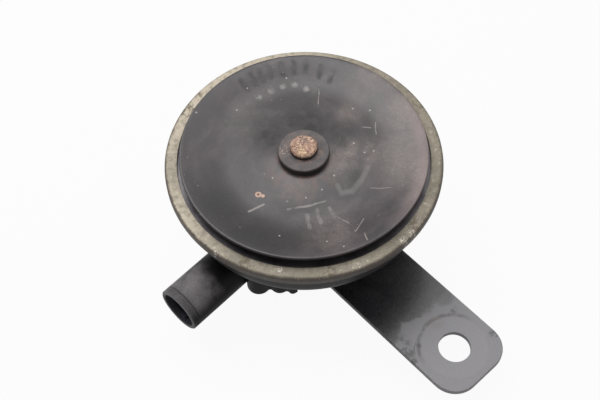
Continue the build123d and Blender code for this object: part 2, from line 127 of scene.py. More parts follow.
# %% Socket wrapper
class Wire:
    """An output socket of a material. Arithmetic on it adds Math nodes."""

    def __init__(self, tree, socket=None):
        self.tree = tree
        self.socket = socket

    def node(self, kind, settings=None, inputs=None, output=0):
        """Add a node of any kind: first its settings, then values or links of its sockets."""
        made = self.tree.nodes.new(kind)
        for name, value in (settings or {}).items():
            setattr(made, name, value)
        for key, value in (inputs or {}).items():
            if isinstance(value, Wire):
                self.tree.links.new(value.socket, made.inputs[key])
            else:
                made.inputs[key].default_value = value
        return Wire(self.tree, made.outputs[output])

    def math(self, operation, first, second=0.0, clamp=False):
        settings = {"operation": operation, "use_clamp": clamp}
        return self.node("ShaderNodeMath", settings, {0: first, 1: second})

    def vector(self, operation, second, output=0):
        inputs = {0: self, 1: second}
        return self.node("ShaderNodeVectorMath", {"operation": operation}, inputs, output)

    def scaled(self, factor):
        return self.node("ShaderNodeVectorMath", {"operation": "SCALE"}, {0: self, "Scale": factor})

    def __add__(self, other):
        return self.math("ADD", self, other)

    def __sub__(self, other):
        return self.math("SUBTRACT", self, other)

    def __rsub__(self, other):
        return self.math("SUBTRACT", other, self)

    def __mul__(self, other):
        return self.math("MULTIPLY", self, other)

    def __truediv__(self, other):
        return self.math("DIVIDE", self, other)

    def __or__(self, other):
        return self.math("MAXIMUM", self, other)

    __radd__ = __add__
    __rmul__ = __mul__


print("sockets can be added, subtracted, multiplied, divided and compared")


# %% Colours
def colour(red, green, blue):
    """Display colour, 0 to 255, as the linear colour that sockets take."""
    shares = [value / 255 for value in (red, green, blue)]
    linear = [((s + 0.055) / 1.055) ** 2.4 if s > 0.04045 else s / 12.92 for s in shares]
    return (*linear, 1.0)


def coat(mask, under, over):
    """Lay one colour over another where the mask is 1."""
    return mask.node("ShaderNodeMix", {"data_type": "RGBA"}, {0: mask, 6: under, 7: over}, 2)


print("mid grey", colour(128, 128, 128))

# %% [markdown]
# ## Masks
#
# Everything that varies over a surface is one of a few shapes: an eased step, a soft
# cloud, a round spot, a straight stroke or a ring. Each is a function of the place on the
# piece, in millimetres, so sizes can be read off the real thing. Painted masks or image
# textures would do too, but they need an unwrapped mesh and can't be changed by a number.


# %% Steps and clouds
def fade(value, start, end):
    """0 up to start, 1 from end on, eased between them. It also works downwards."""
    inputs = {"Value": value, "From Min": start, "From Max": end}
    return value.node("ShaderNodeMapRange", {"interpolation_type": "SMOOTHSTEP"}, inputs)


def cloud(place, size, seed=0.0, detail=3.0, roughness=0.55):
    """Soft noise about 0.5, with lumps of this size in millimetres."""
    inputs = {"Vector": place, "W": seed, "Scale": 1 / size, "Detail": detail,
              "Roughness": roughness}
    return place.node("ShaderNodeTexNoise", {"noise_dimensions": "4D"}, inputs)


print("masks", fade.__name__, cloud.__name__)


# %% Round marks
def plan_of(place):
    """The place seen from above, with no height."""
    return place.vector("MULTIPLY", (1, 1, 0))


def distance(place, point):
    """Distance in the plan from a point."""
    return plan_of(place).vector("DISTANCE", (*point, 0), "Value")


def spot(place, point, radius, edge=0.5):
    """1 inside a round spot of the plan. The edge is the share of the radius that fades."""
    return fade(distance(place, point), radius, radius * (1 - edge))


def hoop(place, point, radius, width):
    """1 on a circle of the plan, fading out to both sides."""
    gap = distance(place, point) - radius
    return fade(gap.math("ABSOLUTE", gap), width / 2, width / 8)


print("masks", spot.__name__, hoop.__name__)


# %% Straight marks
def stroke(place, start, end, width):
    """1 on a straight stroke between two points of the plan, fading out to its sides."""
    line = Vector((*end, 0)) - Vector((*start, 0))
    offset = plan_of(place).vector("SUBTRACT", (*start, 0))
    share = offset.vector("DOT_PRODUCT", line / line.length_squared, "Value")
    share = share.math("MULTIPLY", share, 1.0, clamp=True)
    nearest = share.node("ShaderNodeCombineXYZ", None, {0: share * line.x, 1: share * line.y})
    gap = offset.vector("DISTANCE", nearest, "Value")
    return fade(gap, width / 2, width / 8)


print("mask", stroke.__name__)


# %% Heights and shaken places
def height_of(place):
    return place.node("ShaderNodeSeparateXYZ", None, {0: place}, 2)


def wobbled(place, size, amount, seed=0.0):
    """The place shaken by a cloud, so that strokes and edges aren't ruled lines."""
    inputs = {"Vector": place, "W": seed, "Scale": 1 / size, "Detail": 2.0}
    shake = place.node("ShaderNodeTexNoise", {"noise_dimensions": "4D"}, inputs, 1)
    shake = shake.vector("SUBTRACT", (0.5, 0.5, 0.5))
    return place.vector("ADD", shake.scaled(2 * amount))


print("places", height_of.__name__, wobbled.__name__)


# %% Many marks at once
def any_of(masks):
    """1 where any of the masks is 1."""
    total = masks[0]
    for mask in masks[1:]:
        total = total | mask
    return total


def strokes(place, rows):
    """Strokes given as start, end and width."""
    return any_of([stroke(place, *row) for row in rows])


def patches(place, rows):
    """Wide soft spots given as middle, radius and strength."""
    return any_of([spot(place, point, radius, edge=0.9) * amount
                   for point, radius, amount in rows])


print("groups", strokes.__name__, patches.__name__)

# %% [markdown]
# ## Starting and feeding a material
#
# Every finish starts alike: a principled shader and the place in millimetres from the
# horn's axis. Values that are the same all over are set on the shader's own sockets. Only
# what varies is linked, so the finish can be baked later.

# %% Starting a material
materials = {}


def new_finish(slot, roughness=0.5, metallic=0.0, specular=0.5):
    """A material, its shader, and the place in millimetres from the horn's axis."""
    material = bpy.data.materials.new("finish_" + slot)
    material.use_nodes = True
    shader = material.node_tree.nodes["Principled BSDF"]
    shader.inputs["Roughness"].default_value = roughness
    shader.inputs["Metallic"].default_value = metallic
    shader.inputs["Specular IOR Level"].default_value = specular
    materials[slot] = material
    wire = Wire(material.node_tree)
    place = wire.node("ShaderNodeTexCoord", output="Object")
    place = place.vector("SUBTRACT", horn_axis)
    return shader, place.scaled(1 / MM)


print("finishes are measured from", horn_axis)


# %% Feeding a material
def feed(shader, tone, roughness=None, height=None):
    """Link what varies to the shader: colour, roughness, and height in millimetres."""
    links = tone.tree.links
    links.new(tone.socket, shader.inputs["Base Color"])
    if roughness is not None:
        links.new(roughness.socket, shader.inputs["Roughness"])
    if height is not None:
        bump = height.node("ShaderNodeBump", None, {"Height": height, "Distance": MM})
        links.new(bump.socket, shader.inputs["Normal"])


print("sockets fed", "Base Color, Roughness, Normal")

# %% [markdown]
# ## Tone disc
#
# The disc is thin steel, dipped in black paint that years of road dust have dulled. It is
# grey rather than black, browner where dust and rust from the hub have been rubbed in,
# and it carries scratches, dabs and pale finger marks from being handled. The tints are
# wide soft spots. The pale dust patches are also painted light where the dish is lit, and
# the dark patches round the hub and on the near side are painted shade. Each mark is a
# stroke or a spot of its own, shaken a little so that none looks ruled. Noise alone would
# spread the wear evenly, and a used disc isn't even.

# %% Finger marks and grit, in millimetres from the axis
pale_dots = [(-27.9, 5.1), (-26.9, 9.8), (-25.4, 14.1), (-23.4, 17.3), (-19.5, 19.1)]
dark_smudges = [
    (-32.0, 4.0), (-31.9, 7.6), (-31.2, 10.5), (-30.3, 13.3), (-28.6, 17.0), (-26.4, 20.1),
    (-24.2, 23.1), (-19.6, 25.3), (-16.0, 26.6),
]
specks = [
    (-32.6, 4.4), (-27.0, 17.0), (-35.4, -15.3), (-28.6, -3.8), (-2.9, 24.8), (1.7, 28.3),
    (7.5, 15.1), (12.5, 15.1), (14.1, 17.7), (17.4, -26.2), (-0.3, -13.2), (12.4, -10.5),
    (12.4, 1.6), (13.6, -4.8), (29.0, -17.3), (34.2, -15.2),
]
smudge_length = 0.12        # share of the distance from the axis
smudge_w = 3.0
dot_r = 1.6
speck_r = 0.38
rust_ring_at, rust_drop_at = (1.2, -20.6), (2.6, -19.9)
print("dots", len(pale_dots), "smudges", len(dark_smudges), "specks", len(specks))

# %% Scratches, dabs and the scuff: start, end and width
scratches = [
    ((-16.8, 22.6), (-12.2, 17.9), 0.55),
    ((4.0, 21.3), (6.8, 23.5), 0.5),
    ((6.4, 26.1), (9.8, 23.0), 0.5),
    ((4.0, -27.0), (5.1, -21.8), 1.1),
    ((11.5, -17.4), (15.4, -11.6), 1.2),
    ((15.4, -11.6), (17.5, -6.8), 0.9),
    ((24.1, -8.1), (31.1, -7.0), 0.5),
    ((32.4, -8.4), (30.5, -3.2), 0.5),
    ((35.0, -7.2), (37.4, -8.4), 0.6),
    ((23.7, 6.7), (28.5, 11.8), 0.35),
]
dabs = [((17.5, -14.6), (21.6, -17.4), 1.8), ((18.2, -10.8), (22.6, -13.6), 1.9),
        ((20.3, -7.5), (24.0, -9.3), 1.9)]
scuff = [((15.9, -0.4), (19.0, -1.2), 2.4), ((19.0, -1.2), (20.8, 1.6), 2.6),
         ((20.8, 1.6), (19.8, 6.8), 2.8), ((19.8, 6.8), (17.1, 11.7), 2.6)]
print("strokes", len(scratches) + len(dabs) + len(scuff))

# %% Dust that is also painted light, and painted shade: middle, radius and strength
# The first list is dust, also painted light where the dish is lit. The second is painted shade
# round the hub, mostly behind it, and the third is painted shade, mostly on the near side.
dust_and_light_patches = [
    ((28, 28), 24, 0.75), ((10, 5.5), 9, 0.9), ((8.5, 12), 8, 1.0), ((8, -10), 9, 0.45),
    ((-6, 38), 13, 0.8), ((12, 37), 15, 1.0), ((31, 22), 14, 0.9), ((13, 16), 9, 0.6),
    ((-3, 22), 7, 0.45), ((27, -14), 12, 0.5), ((-24, -4), 10, 0.2),
]
hub_shade_patches = [
    ((-9, 9), 15, 1.0), ((-13, -3), 12, 0.95), ((1, 15), 9, 0.9), ((17.5, 6.0), 4.0, 0.5),
    ((15, -17), 12, 0.3),
]
shade_patches = [((-4, -33), 22, 0.9), ((14, -33), 20, 0.9), ((-22, 15), 10, 0.5)]
hub_rust_at, hub_rust_r = (3, -4), 15
rubbed_edge_from, rubbed_edge_to = 35.0, 38.5       # distance from the axis
rubbed_side_at, rubbed_side_r = (30, 26), 30
print("patches", len(dust_and_light_patches) + len(hub_shade_patches) + len(shade_patches))

# %% Tones of the disc
black_paint, worn_paint = colour(38, 32, 35), colour(56, 47, 50)
rubbed_paint, deep_paint = colour(74, 68, 69), colour(24, 18, 21)
# The first colour is dust that also paints light on the lit parts of the dish; the last is painted
# shade.
dust_and_light_tone, edge_tone, painted_shade_tone = colour(112, 102, 98), colour(142, 124, 122), colour(18, 16, 18)
rust_tone, rust_pale, rust_deep = colour(104, 74, 62), colour(196, 160, 138), colour(110, 66, 52)
grain_pale, grain_dark = colour(146, 138, 134), colour(22, 21, 23)
smudge_tone, rub_tone = colour(12, 11, 13), colour(146, 140, 137)
scratch_tone, grit_tone = colour(160, 153, 148), colour(186, 180, 174)
print("black paint", black_paint)


# %% Swirled paint
def swirled(place, along, across):
    """A place for clouds that makes arcs about the axis, this long and this wide."""
    arc_radius = 20
    radius = distance(place, (0, 0))
    around = plan_of(place).vector("NORMALIZE", (0, 0, 0)).scaled(arc_radius / along)
    outwards = radius.node("ShaderNodeCombineXYZ", None, {2: radius / across})
    return around.vector("ADD", outwards)


def disc_paint(broad, swirls):
    """Dulled paint, with lighter and darker swirls about the axis."""
    paint = coat(fade(broad, 0.38, 0.62), black_paint, worn_paint)
    paint = coat(fade(swirls, 0.5, 0.64) * 0.38, paint, rubbed_paint)
    return coat(fade(swirls, 0.5, 0.36) * 0.42, paint, deep_paint)


print("swirls go round", horn_axis)


# %% Dirt, painted light and painted shade on the disc
def disc_dirt_and_shading(place, paint, broad, fine, grain, swirls):
    """Dust that is also painted light, painted shade, and rust tints. It gives the paint, the pale
    mask and the painted shade round the hub.
    """
    adrift = wobbled(place, 9.0, 3.0, seed=6)
    # Pale patches: dust, and painted light where the dish is lit.
    dust_and_light = patches(adrift, dust_and_light_patches) * (fade(fine * 0.6 + broad, 0.65, 0.95) * 0.6 + 0.45)
    paint = coat(dust_and_light, paint, dust_and_light_tone)
    edge = fade(distance(place, (0, 0)), rubbed_edge_from, rubbed_edge_to)
    edge = edge * spot(place, rubbed_side_at, rubbed_side_r, edge=0.6)
    paint = coat(edge * (broad * 0.6 + 0.2), paint, edge_tone)
    # Painted shade round the hub, mostly behind it, and on the shade patches.
    hub_shade = patches(adrift, hub_shade_patches) * (fade(swirls + fine, 1.2, 0.8) * 0.35 + 0.65)
    paint = coat(hub_shade | patches(adrift, shade_patches), paint, painted_shade_tone)
    rust_tint = spot(adrift, hub_rust_at, hub_rust_r, edge=0.6) * fade(fine, 0.42, 0.62)
    paint = coat(rust_tint * 0.4, paint, rust_tone)
    paint = coat(fade(grain, 0.5, 0.68) * (dust_and_light * 0.5 + 0.04), paint, grain_pale)
    return coat(fade(grain, 0.42, 0.3) * 0.4, paint, grain_dark), dust_and_light, hub_shade


print("dirt of the disc ready")


# %% Marks on the disc
def disc_marks(place, paint, broad, fine, grain):
    """Smudges, rubs, dots and scratches. It gives the paint, the smudges and the rest."""
    shaken = wobbled(place, 4.0, 0.5, seed=3)
    nudged = wobbled(place, 7.0, 1.2, seed=9)
    outwards = 1 + smudge_length
    smudge = strokes(shaken, [((x, y), (x * outwards, y * outwards), smudge_w)
                              for x, y in dark_smudges])
    smudge = smudge * fade(fine + broad, 0.75, 1.15)
    paint = coat(smudge * 0.9, paint, smudge_tone)
    broken = fade(fine + grain, 0.7, 1.15)
    smear = strokes(nudged, scuff) * fade(fine + broad, 0.5, 1.1)
    rubs = strokes(nudged, dabs) * 0.6 * broken | smear * 0.36
    dots = any_of([spot(shaken, point, dot_r, edge=0.8) for point in pale_dots]) * broken
    paint = coat((rubs | dots) * 0.75, paint, rub_tone)
    marks = strokes(shaken, scratches)
    paint = coat(marks * fade(fine, 0.34, 0.56) * 0.6, paint, scratch_tone)
    return paint, smudge, rubs, marks


def disc_grit(place, paint):
    """White specks, and a ring of rust that a drop has left."""
    grit = any_of([spot(place, point, speck_r, edge=0.6) for point in specks])
    dust_grit = fade(cloud(place, 0.8, seed=5, detail=1), 0.74, 0.8)
    paint = coat((grit | dust_grit * 0.5) * 0.75, paint, grit_tone)
    rust_ring = hoop(place, rust_ring_at, 0.75, 0.8) | spot(place, rust_drop_at, 0.8)
    paint = coat(rust_ring * 0.9, paint, rust_pale)
    return coat(spot(place, rust_ring_at, 0.5), paint, rust_deep)


print("marks of the disc ready")


# %% Disc finish
def make_disc_black():
    shader, place = new_finish("disc_black", roughness=0.36)
    broad = cloud(place, 13, seed=1)
    fine = cloud(place, 3.0, seed=2, detail=5)
    grain = cloud(place, 0.6, seed=7, detail=4, roughness=0.65)
    swirls = cloud(swirled(wobbled(place, 10, 6.0, seed=10), 6, 3.6), 1.0, seed=8, detail=4)
    paint = disc_paint(broad, swirls)
    paint, dust_and_light, hub_shade = disc_dirt_and_shading(place, paint, broad, fine, grain, swirls)
    paint, smudge, rubs, marks = disc_marks(place, paint, broad, fine, grain)
    paint = disc_grit(place, paint)
    worn = dust_and_light * 0.1 + (hub_shade | smudge * 0.5) * 0.35 + (marks | rubs) * 0.1
    worn = worn + (fine + grain) * 0.08
    feed(shader, paint, roughness=worn + 0.26, height=grain * 0.015 + marks * 0.03)


make_disc_black()
print("disc nodes", len(materials["disc_black"].node_tree.nodes))

# %% [markdown]
# ## Crimped rim
#
# The rim is zinc plated and passivated to a dull khaki. It has gone cream where it is dry,
# and on the left and front that cream is also painted sheen where the lamps light the flat
# face. It is darker brown along the outer bend and darker towards the bottom of the lip,
# and it is stained and nicked. A plain metal would look new, so the colour is built up in
# coats: plating, dry bloom that is partly painted sheen, a darker bend and lip, stains, and
# chips down to bright metal.

# %% Stains and chips of the rim: middle and radius
rim_stains = [((-40.4, -15.2), 4.5), ((-43, -10), 3.0), ((27.3, 32.9), 1.3),
              ((36, -23), 2.5), ((16.4, -39.4), 3.0), ((10, 43), 3.0), ((43, 8), 3.5)]
rim_chips = [((44.0, 1.0), 1.9), ((43.9, 4.6), 1.9), ((40.6, -15.6), 1.5),
             ((7.6, -43.8), 1.0), ((25.4, -33.5), 1.1), ((-10.0, -42.6), 0.8),
             ((27.3, 32.9), 0.7)]
rim_scratch = ((38.0, -14.8), (40.6, -17.4), 0.7)
# Cream bloom, which is also painted sheen where the lamps light the flat face.
cream_and_sheen_patches = [((-44, 2), 56, 0.7, 0.75), ((-10, -44), 24, 0.8, 0.55)]     # edge, strength
rim_r = (ring_high.x - horn_axis.x) / MM
rim_top = ring_high.z / MM
bend_from, bend_to = rim_r - 0.9, rim_r - 0.2
lip_from, lip_to = rim_top - 0.8, rim_top - 1.4
print("rim radius", rim_r, "marks", len(rim_stains) + len(rim_chips))

# %% Tones of the rim
# The third colour is cream bloom that is also painted sheen.
khaki, khaki_pale, cream_and_sheen_tone = colour(114, 107, 92), colour(132, 124, 108), colour(192, 180, 161)
speck_dark, speck_pale = colour(88, 80, 68), colour(206, 197, 178)
bend_tone, lip_tone, stain_tone = colour(70, 62, 58), colour(84, 78, 74), colour(84, 72, 52)
pit_tone, chip_tone, bloom_tone = colour(66, 60, 52), colour(216, 208, 194), colour(214, 206, 188)
print("khaki", khaki)


# %% Plating
def rim_plating(shaken, broad, fine):
    """Khaki plating with a dry, creamy bloom that is also painted sheen on the lit left and front,
    in small specks.
    """
    metal = coat(fade(broad, 0.38, 0.62), khaki, khaki_pale)
    cream_and_sheen = any_of([spot(shaken, point, radius, edge) * amount
                    for point, radius, edge, amount in cream_and_sheen_patches])
    # Cream bloom and painted sheen.
    metal = coat(cream_and_sheen, metal, cream_and_sheen_tone)
    metal = coat(fade(fine, 0.48, 0.64) * 0.5, metal, speck_dark)
    return coat(fade(fine, 0.42, 0.3) * 0.6, metal, speck_pale)


def rim_bend_and_lip(place, metal, fine):
    """Darker brown on the outer bend, and darker towards the bottom of the lip."""
    radius = distance(place, (0, 0))
    bend = fade(radius + (fine - 0.5) * 1.2, bend_from, bend_to)
    metal = coat(bend * 0.85, metal, bend_tone)
    drop = fade(height_of(place), lip_from, lip_to)
    return coat(drop * fade(fine, 0.3, 0.6), metal, lip_tone)


print("plating and dirt ready")


# %% Rim finish
def make_rim_plating():
    shader, place = new_finish("rim_plating", roughness=0.5, metallic=0.15)
    shaken = wobbled(place, 6.0, 0.8, seed=4)
    broad = cloud(place, 14, seed=11)
    fine = cloud(place, 1.6, seed=12, detail=6, roughness=0.65)
    grain = cloud(place, 0.5, seed=14, detail=3, roughness=0.7)
    metal = rim_bend_and_lip(place, rim_plating(shaken, broad, fine), fine)
    stains = any_of([spot(shaken, *stain) for stain in rim_stains])
    metal = coat(stains * fade(fine, 0.44, 0.56) * 0.75, metal, stain_tone)
    metal = coat(fade(grain, 0.58, 0.66) * 0.5, metal, pit_tone)
    chipped = any_of([spot(shaken, *chip) for chip in rim_chips]) | stroke(shaken, *rim_scratch)
    metal = coat(chipped * fade(grain + fine * 0.5, 0.72, 0.9) * 0.8, metal, chip_tone)
    metal = coat(fade(grain, 0.4, 0.32) * 0.35, metal, bloom_tone)
    feed(shader, metal, roughness=fine * 0.25 + 0.38, height=fine * 0.03 + grain * 0.02)


make_rim_plating()
print("rim nodes", len(materials["rim_plating"].node_tree.nodes))

# %% [markdown]
# ## Shell
#
# The drawn steel shell is painted black, thinly, and dust lies in the corner under the
# rim. Its finish is the plainest, as it shows only as a dark band. Little gloss keeps it
# dark from all sides.

# %% Tones of the shell
shell_paint, shell_worn = colour(32, 32, 34), colour(44, 43, 45)
shell_speck, ledge_dust = colour(86, 82, 80), colour(80, 70, 62)
under_rim = ring_low.z / MM
ledge_from, ledge_to = under_rim - 1.5, under_rim - 0.2
print("shell paint", shell_paint)


# %% Shell finish
def make_shell_black():
    shader, place = new_finish("shell_black", roughness=0.45, specular=0.3)
    broad = cloud(place, 12, seed=21)
    fine = cloud(place, 1.4, seed=22, detail=5)
    paint = coat(fade(broad, 0.35, 0.65), shell_paint, shell_worn)
    paint = coat(fade(fine, 0.56, 0.7) * 0.2, paint, shell_speck)
    ledge = fade(height_of(place), ledge_from, ledge_to)
    paint = coat(ledge * fade(fine, 0.4, 0.6) * 0.5, paint, ledge_dust)
    feed(shader, paint, roughness=fine * 0.2 + 0.35, height=fine * 0.015)


make_shell_black()
print("shell nodes", len(materials["shell_black"].node_tree.nodes))

# %% [markdown]
# ## Bracket strip
#
# The strip is painted black too, with more gloss, so it shows the pale room at its free
# end and the dark horn beside it. The outer half is grey with dust, which is also painted
# reflection of the pale room, and it ends in a ragged edge. A washer once stood round the
# hole and left a ring with a little rust. These marks are laid out about the hole, so the
# place is counted from there.

# %% Marks on the strip: middle and radius from the hole
strip_scuffs = [((9.5, 11.0), 3.0), ((11.1, 8.3), 2.6), ((5.6, 12.6), 2.6),
                ((-12.4, -11.8), 4.4), ((-8.6, -12.0), 2.8), ((-5.4, -12.8), 1.8),
                ((-8.2, -8.0), 1.2), ((-8.9, 9.8), 1.8)]
strip_nick = ((-9.5, -8.2), (-7.6, -11.0), 0.5)
washer_r, witness_r, witness_w = 11.2, 11.6, 1.8
# A darker patch in the pale part, which shapes its ragged edge.
dark_patch_at, dark_patch_r = (-15.0, 10.5), 4.5
hole_rust_at, hole_rust_r = (-10.2, 2.1), 3.6
# The pale part, dust and painted reflection of the pale room, starts here, in millimetres from the
# hole along the strip.
strip_pale_from, strip_pale_to = -16.8, -14.0
print("strip marks", len(strip_scuffs) + 1, "washer radius", washer_r)

# %% Tones of the strip
strip_paint, strip_worn = colour(40, 39, 42), colour(56, 54, 56)
# The first colour here is dust that is also painted reflection of the pale room.
strip_dust_and_reflection_tone, washer_tone = colour(130, 128, 131), colour(140, 138, 142)
witness_tone, hole_rust_tone = colour(54, 50, 50), colour(120, 102, 94)
strip_scuff_tone, nick_tone = colour(48, 47, 48), colour(50, 48, 50)
strip_pale, strip_dark = colour(172, 168, 168), colour(70, 68, 70)
print("strip paint", strip_paint)


# %% Dust with painted reflection, and washer print
def strip_dust_and_reflection(place, shaken, broad, fine):
    """Dust and painted reflection of the pale room on the outer half of the strip, with a ragged
    edge and a darker patch.
    """
    along = place.node("ShaderNodeSeparateXYZ", None, {0: shaken}, 0)
    dust_and_light = fade(along + (broad - 0.5) * 16 + (fine - 0.5) * 4, strip_pale_from, strip_pale_to)
    return dust_and_light * (1 - spot(shaken, dark_patch_at, dark_patch_r, edge=0.5) * 0.6), along


def washer_print(place, shaken, paint, broad, fine, along):
    """Paler paint where the washer stood, a dark line round it, and a touch of rust."""
    paint = coat(spot(place, (0, 0), washer_r, edge=0.08) * 0.3, paint, washer_tone)
    witness = hoop(shaken, (0, 0), witness_r, witness_w) * fade(along, -1, -6)
    witness = witness * fade(broad + fine * 0.6, 0.68, 0.92)
    paint = coat(witness * 0.7, paint, witness_tone)
    rust = spot(shaken, hole_rust_at, hole_rust_r, edge=0.8) * fade(fine, 0.38, 0.58)
    return coat(rust * 0.35, paint, hole_rust_tone)


print("dust starts", strip_pale_from, "mm from the hole")


# %% Strip finish
def make_bracket_black():
    shader, place = new_finish("bracket_black", roughness=0.3)
    place = place.vector("ADD", (horn_axis.x / MM, horn_axis.y / MM, 0))
    shaken = wobbled(place, 5.0, 0.9, seed=31)
    broad = cloud(shaken, 8, seed=32, detail=4)
    fine = cloud(place, 1.3, seed=33, detail=5)
    grain = cloud(place, 0.5, seed=34, detail=3, roughness=0.7)
    paint = coat(fade(broad, 0.38, 0.62), strip_paint, strip_worn)
    dust_and_light, along = strip_dust_and_reflection(place, shaken, broad, fine)
    # Dust and painted reflection of the pale room on the outer half.
    paint = coat(dust_and_light * (fine * 0.3 + 0.75), paint, strip_dust_and_reflection_tone)
    paint = washer_print(place, shaken, paint, broad, fine, along)
    scuffs = any_of([spot(shaken, point, radius, edge=0.7) for point, radius in strip_scuffs])
    paint = coat(scuffs * fade(fine + broad, 0.94, 1.12) * 0.8, paint, strip_scuff_tone)
    paint = coat(stroke(shaken, *strip_nick) * 0.7, paint, nick_tone)
    paint = coat(fade(grain, 0.54, 0.68) * 0.22, paint, strip_pale)
    paint = coat(fade(grain, 0.44, 0.3) * 0.3, paint, strip_dark)
    worn = fine * 0.16 + dust_and_light * 0.1
    feed(shader, paint, roughness=worn + 0.2, height=(fine + grain) * 0.01)


make_bracket_black()
print("strip nodes", len(materials["bracket_black"].node_tree.nodes))

# %% [markdown]
# ## Terminal cover
#
# The cover is moulded plastic with a fine spark-eroded grain, deep black where it is
# clean. Dust lies on top of the outer tube, thinner at the mouth, where a plug's boot once
# covered it, and the same pale mask is painted light on the lit top of the tube, clear of
# the disc's shadow. A shallow line runs round the tube there, with painted shade in it.
# The pale mask has to follow the tube and not the horn, so it is measured along the
# tube's own direction.

# %% Places on the socket tube
tube_way = Vector((cos(radians(-86.7)), sin(radians(-86.7)), 0.0))
tube_z = 9.2
mouth_at = 58.6             # from the horn's axis, along the tube
seam_at = mouth_at - 2.6
socket_r = 6.35
# Where the dust and painted light on the tube's top begin, and where they thin at the mouth.
tube_pale_from, tube_pale_to = 43, 52
thin_from, thin_to = mouth_at - 4.5, mouth_at - 1.5
mouth_edge_from, mouth_edge_to = mouth_at - 0.5, mouth_at - 0.1
print("tube points to", tube_way, "and ends at", mouth_at)

# %% Tones of the cover
clean_plastic, dull_plastic = colour(13, 13, 15), colour(22, 22, 24)
# The dust colour of the cover is also painted light.
plastic_dust_and_light, scuffed_lip = colour(136, 131, 133), colour(140, 138, 140)
# The seam colour is painted shade in the groove round the tube.
socket_tone, seam_shade_tone = colour(62, 62, 68), colour(14, 14, 15)
print("clean plastic", clean_plastic)


# %% Dust and mouth of the tube
def tube_dust_and_light(place, out, broad, fine):
    """Dust and painted light on the lit top of the outer tube, worn thinner at its mouth."""
    dust_and_light = fade(out + (broad - 0.5) * 16, tube_pale_from, tube_pale_to)
    dust_and_light = dust_and_light * (fade(fine + broad, 0.7, 1.25) * 0.5 + 0.5)
    dust_and_light = dust_and_light * fade(height_of(place), tube_z + 1, tube_z + 6)
    return dust_and_light * (1 - fade(out, thin_from, thin_to) * 0.4)


def inside_tube(place, out):
    """1 on the wall of the socket."""
    from_tube = place.vector("SUBTRACT", (0, 0, tube_z)).vector("CROSS_PRODUCT", tube_way)
    from_tube = from_tube.vector("LENGTH", (0, 0, 0), "Value")
    return fade(from_tube, socket_r + 0.12, socket_r + 0.02) * fade(out, 20, 22)


print("socket radius", socket_r)


# %% Cover finish
def make_cover_black():
    shader, place = new_finish("cover_black", roughness=0.42, specular=0.12)
    broad = cloud(place, 7, seed=41)
    fine = cloud(place, 0.35, seed=42, detail=2)
    out = place.vector("DOT_PRODUCT", tube_way, "Value")
    plastic = coat(fade(broad, 0.35, 0.65), clean_plastic, dull_plastic)
    # Dust and painted light on the lit top of the outer tube.
    plastic = coat(tube_dust_and_light(place, out, broad, fine) * 0.9, plastic, plastic_dust_and_light)
    lip = fade(out, mouth_edge_from, mouth_edge_to)
    plastic = coat(lip * 0.35, plastic, scuffed_lip)
    inside = inside_tube(place, out)
    plastic = coat(inside, plastic, socket_tone)
    seam = out - seam_at
    seam = fade(seam.math("ABSOLUTE", seam), 0.35, 0.1)
    # Painted shade in the shallow groove round the tube.
    plastic = coat(seam * 0.6, plastic, seam_shade_tone)
    worn = broad * 0.2 + inside * 0.3
    feed(shader, plastic, roughness=worn + 0.34, height=fine * 0.012 - seam * 0.08)


make_cover_black()
print("cover nodes", len(materials["cover_black"].node_tree.nodes))

# %% [markdown]
# ## Centre washer
#
# The washer is dark phosphated steel, tinged with rust from the rivet. Its side is painted
# near black, as painted shade below the face. A painted shadow round the rivet, set a little
# behind it, and a few bright flakes are spots of their own.

# %% Places and tones of the washer
# Painted shadow round the rivet, set a little behind it.
rivet_shadow_at, rivet_shadow_r = (0.8, 1.0), 6.6
flakes_at, flakes_r = (-3.9, -4.4), 3.2
washer_rust_r = 8.0
washer_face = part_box("centre_washer")[1].z / MM
washer_steel, washer_worn = colour(66, 62, 64), colour(88, 80, 76)
# The second colour is the painted shadow round the rivet.
washer_rust, rivet_shadow_tone = colour(128, 96, 80), colour(48, 36, 34)
# The last colour is painted shade for the washer's side.
flake_tone, washer_side_shade = colour(196, 168, 152), colour(16, 14, 15)
print("washer face at", washer_face)


# %% Washer finish
def make_boss_dark():
    shader, place = new_finish("boss_dark", roughness=0.5)
    fine = cloud(place, 0.9, seed=51, detail=5, roughness=0.6)
    grain = cloud(place, 0.35, seed=53, detail=3, roughness=0.7)
    broad = cloud(place, 4, seed=52)
    steel = coat(fade(broad, 0.38, 0.62), washer_steel, washer_worn)
    rust = spot(place, (0, 0), washer_rust_r, edge=0.5) * fade(fine, 0.48, 0.62)
    steel = coat(rust * 0.5, steel, washer_rust)
    # Painted shadow round the rivet's foot.
    rivet_shadow = spot(wobbled(place, 2, 0.6, seed=54), rivet_shadow_at, rivet_shadow_r, edge=0.4)
    steel = coat(rivet_shadow * fade(fine, 0.62, 0.4) * 0.7, steel, rivet_shadow_tone)
    flakes = spot(place, flakes_at, flakes_r, edge=0.7) * fade(grain, 0.54, 0.62)
    steel = coat(flakes * 0.9, steel, flake_tone)
    # Painted shade on the side of the washer, below its face.
    side_shade = fade(height_of(place), washer_face - 0.2, washer_face - 0.7)
    steel = coat(side_shade * 0.95, steel, washer_side_shade)
    feed(shader, steel, roughness=fine * 0.3 + 0.4, height=(fine + grain) * 0.03)


make_boss_dark()
print("washer nodes", len(materials["boss_dark"].node_tree.nodes))

# %% [markdown]
# ## Rivet
#
# The rivet has lost its plating and rusted to scale, from dark pits to pale tan. Two sizes
# of noise give lumps and grains, and a bare patch and a golden patch, which is a painted
# highlight on the front, break up the evenness. The lower part of the head is painted near
# black, as painted shade above the washer.

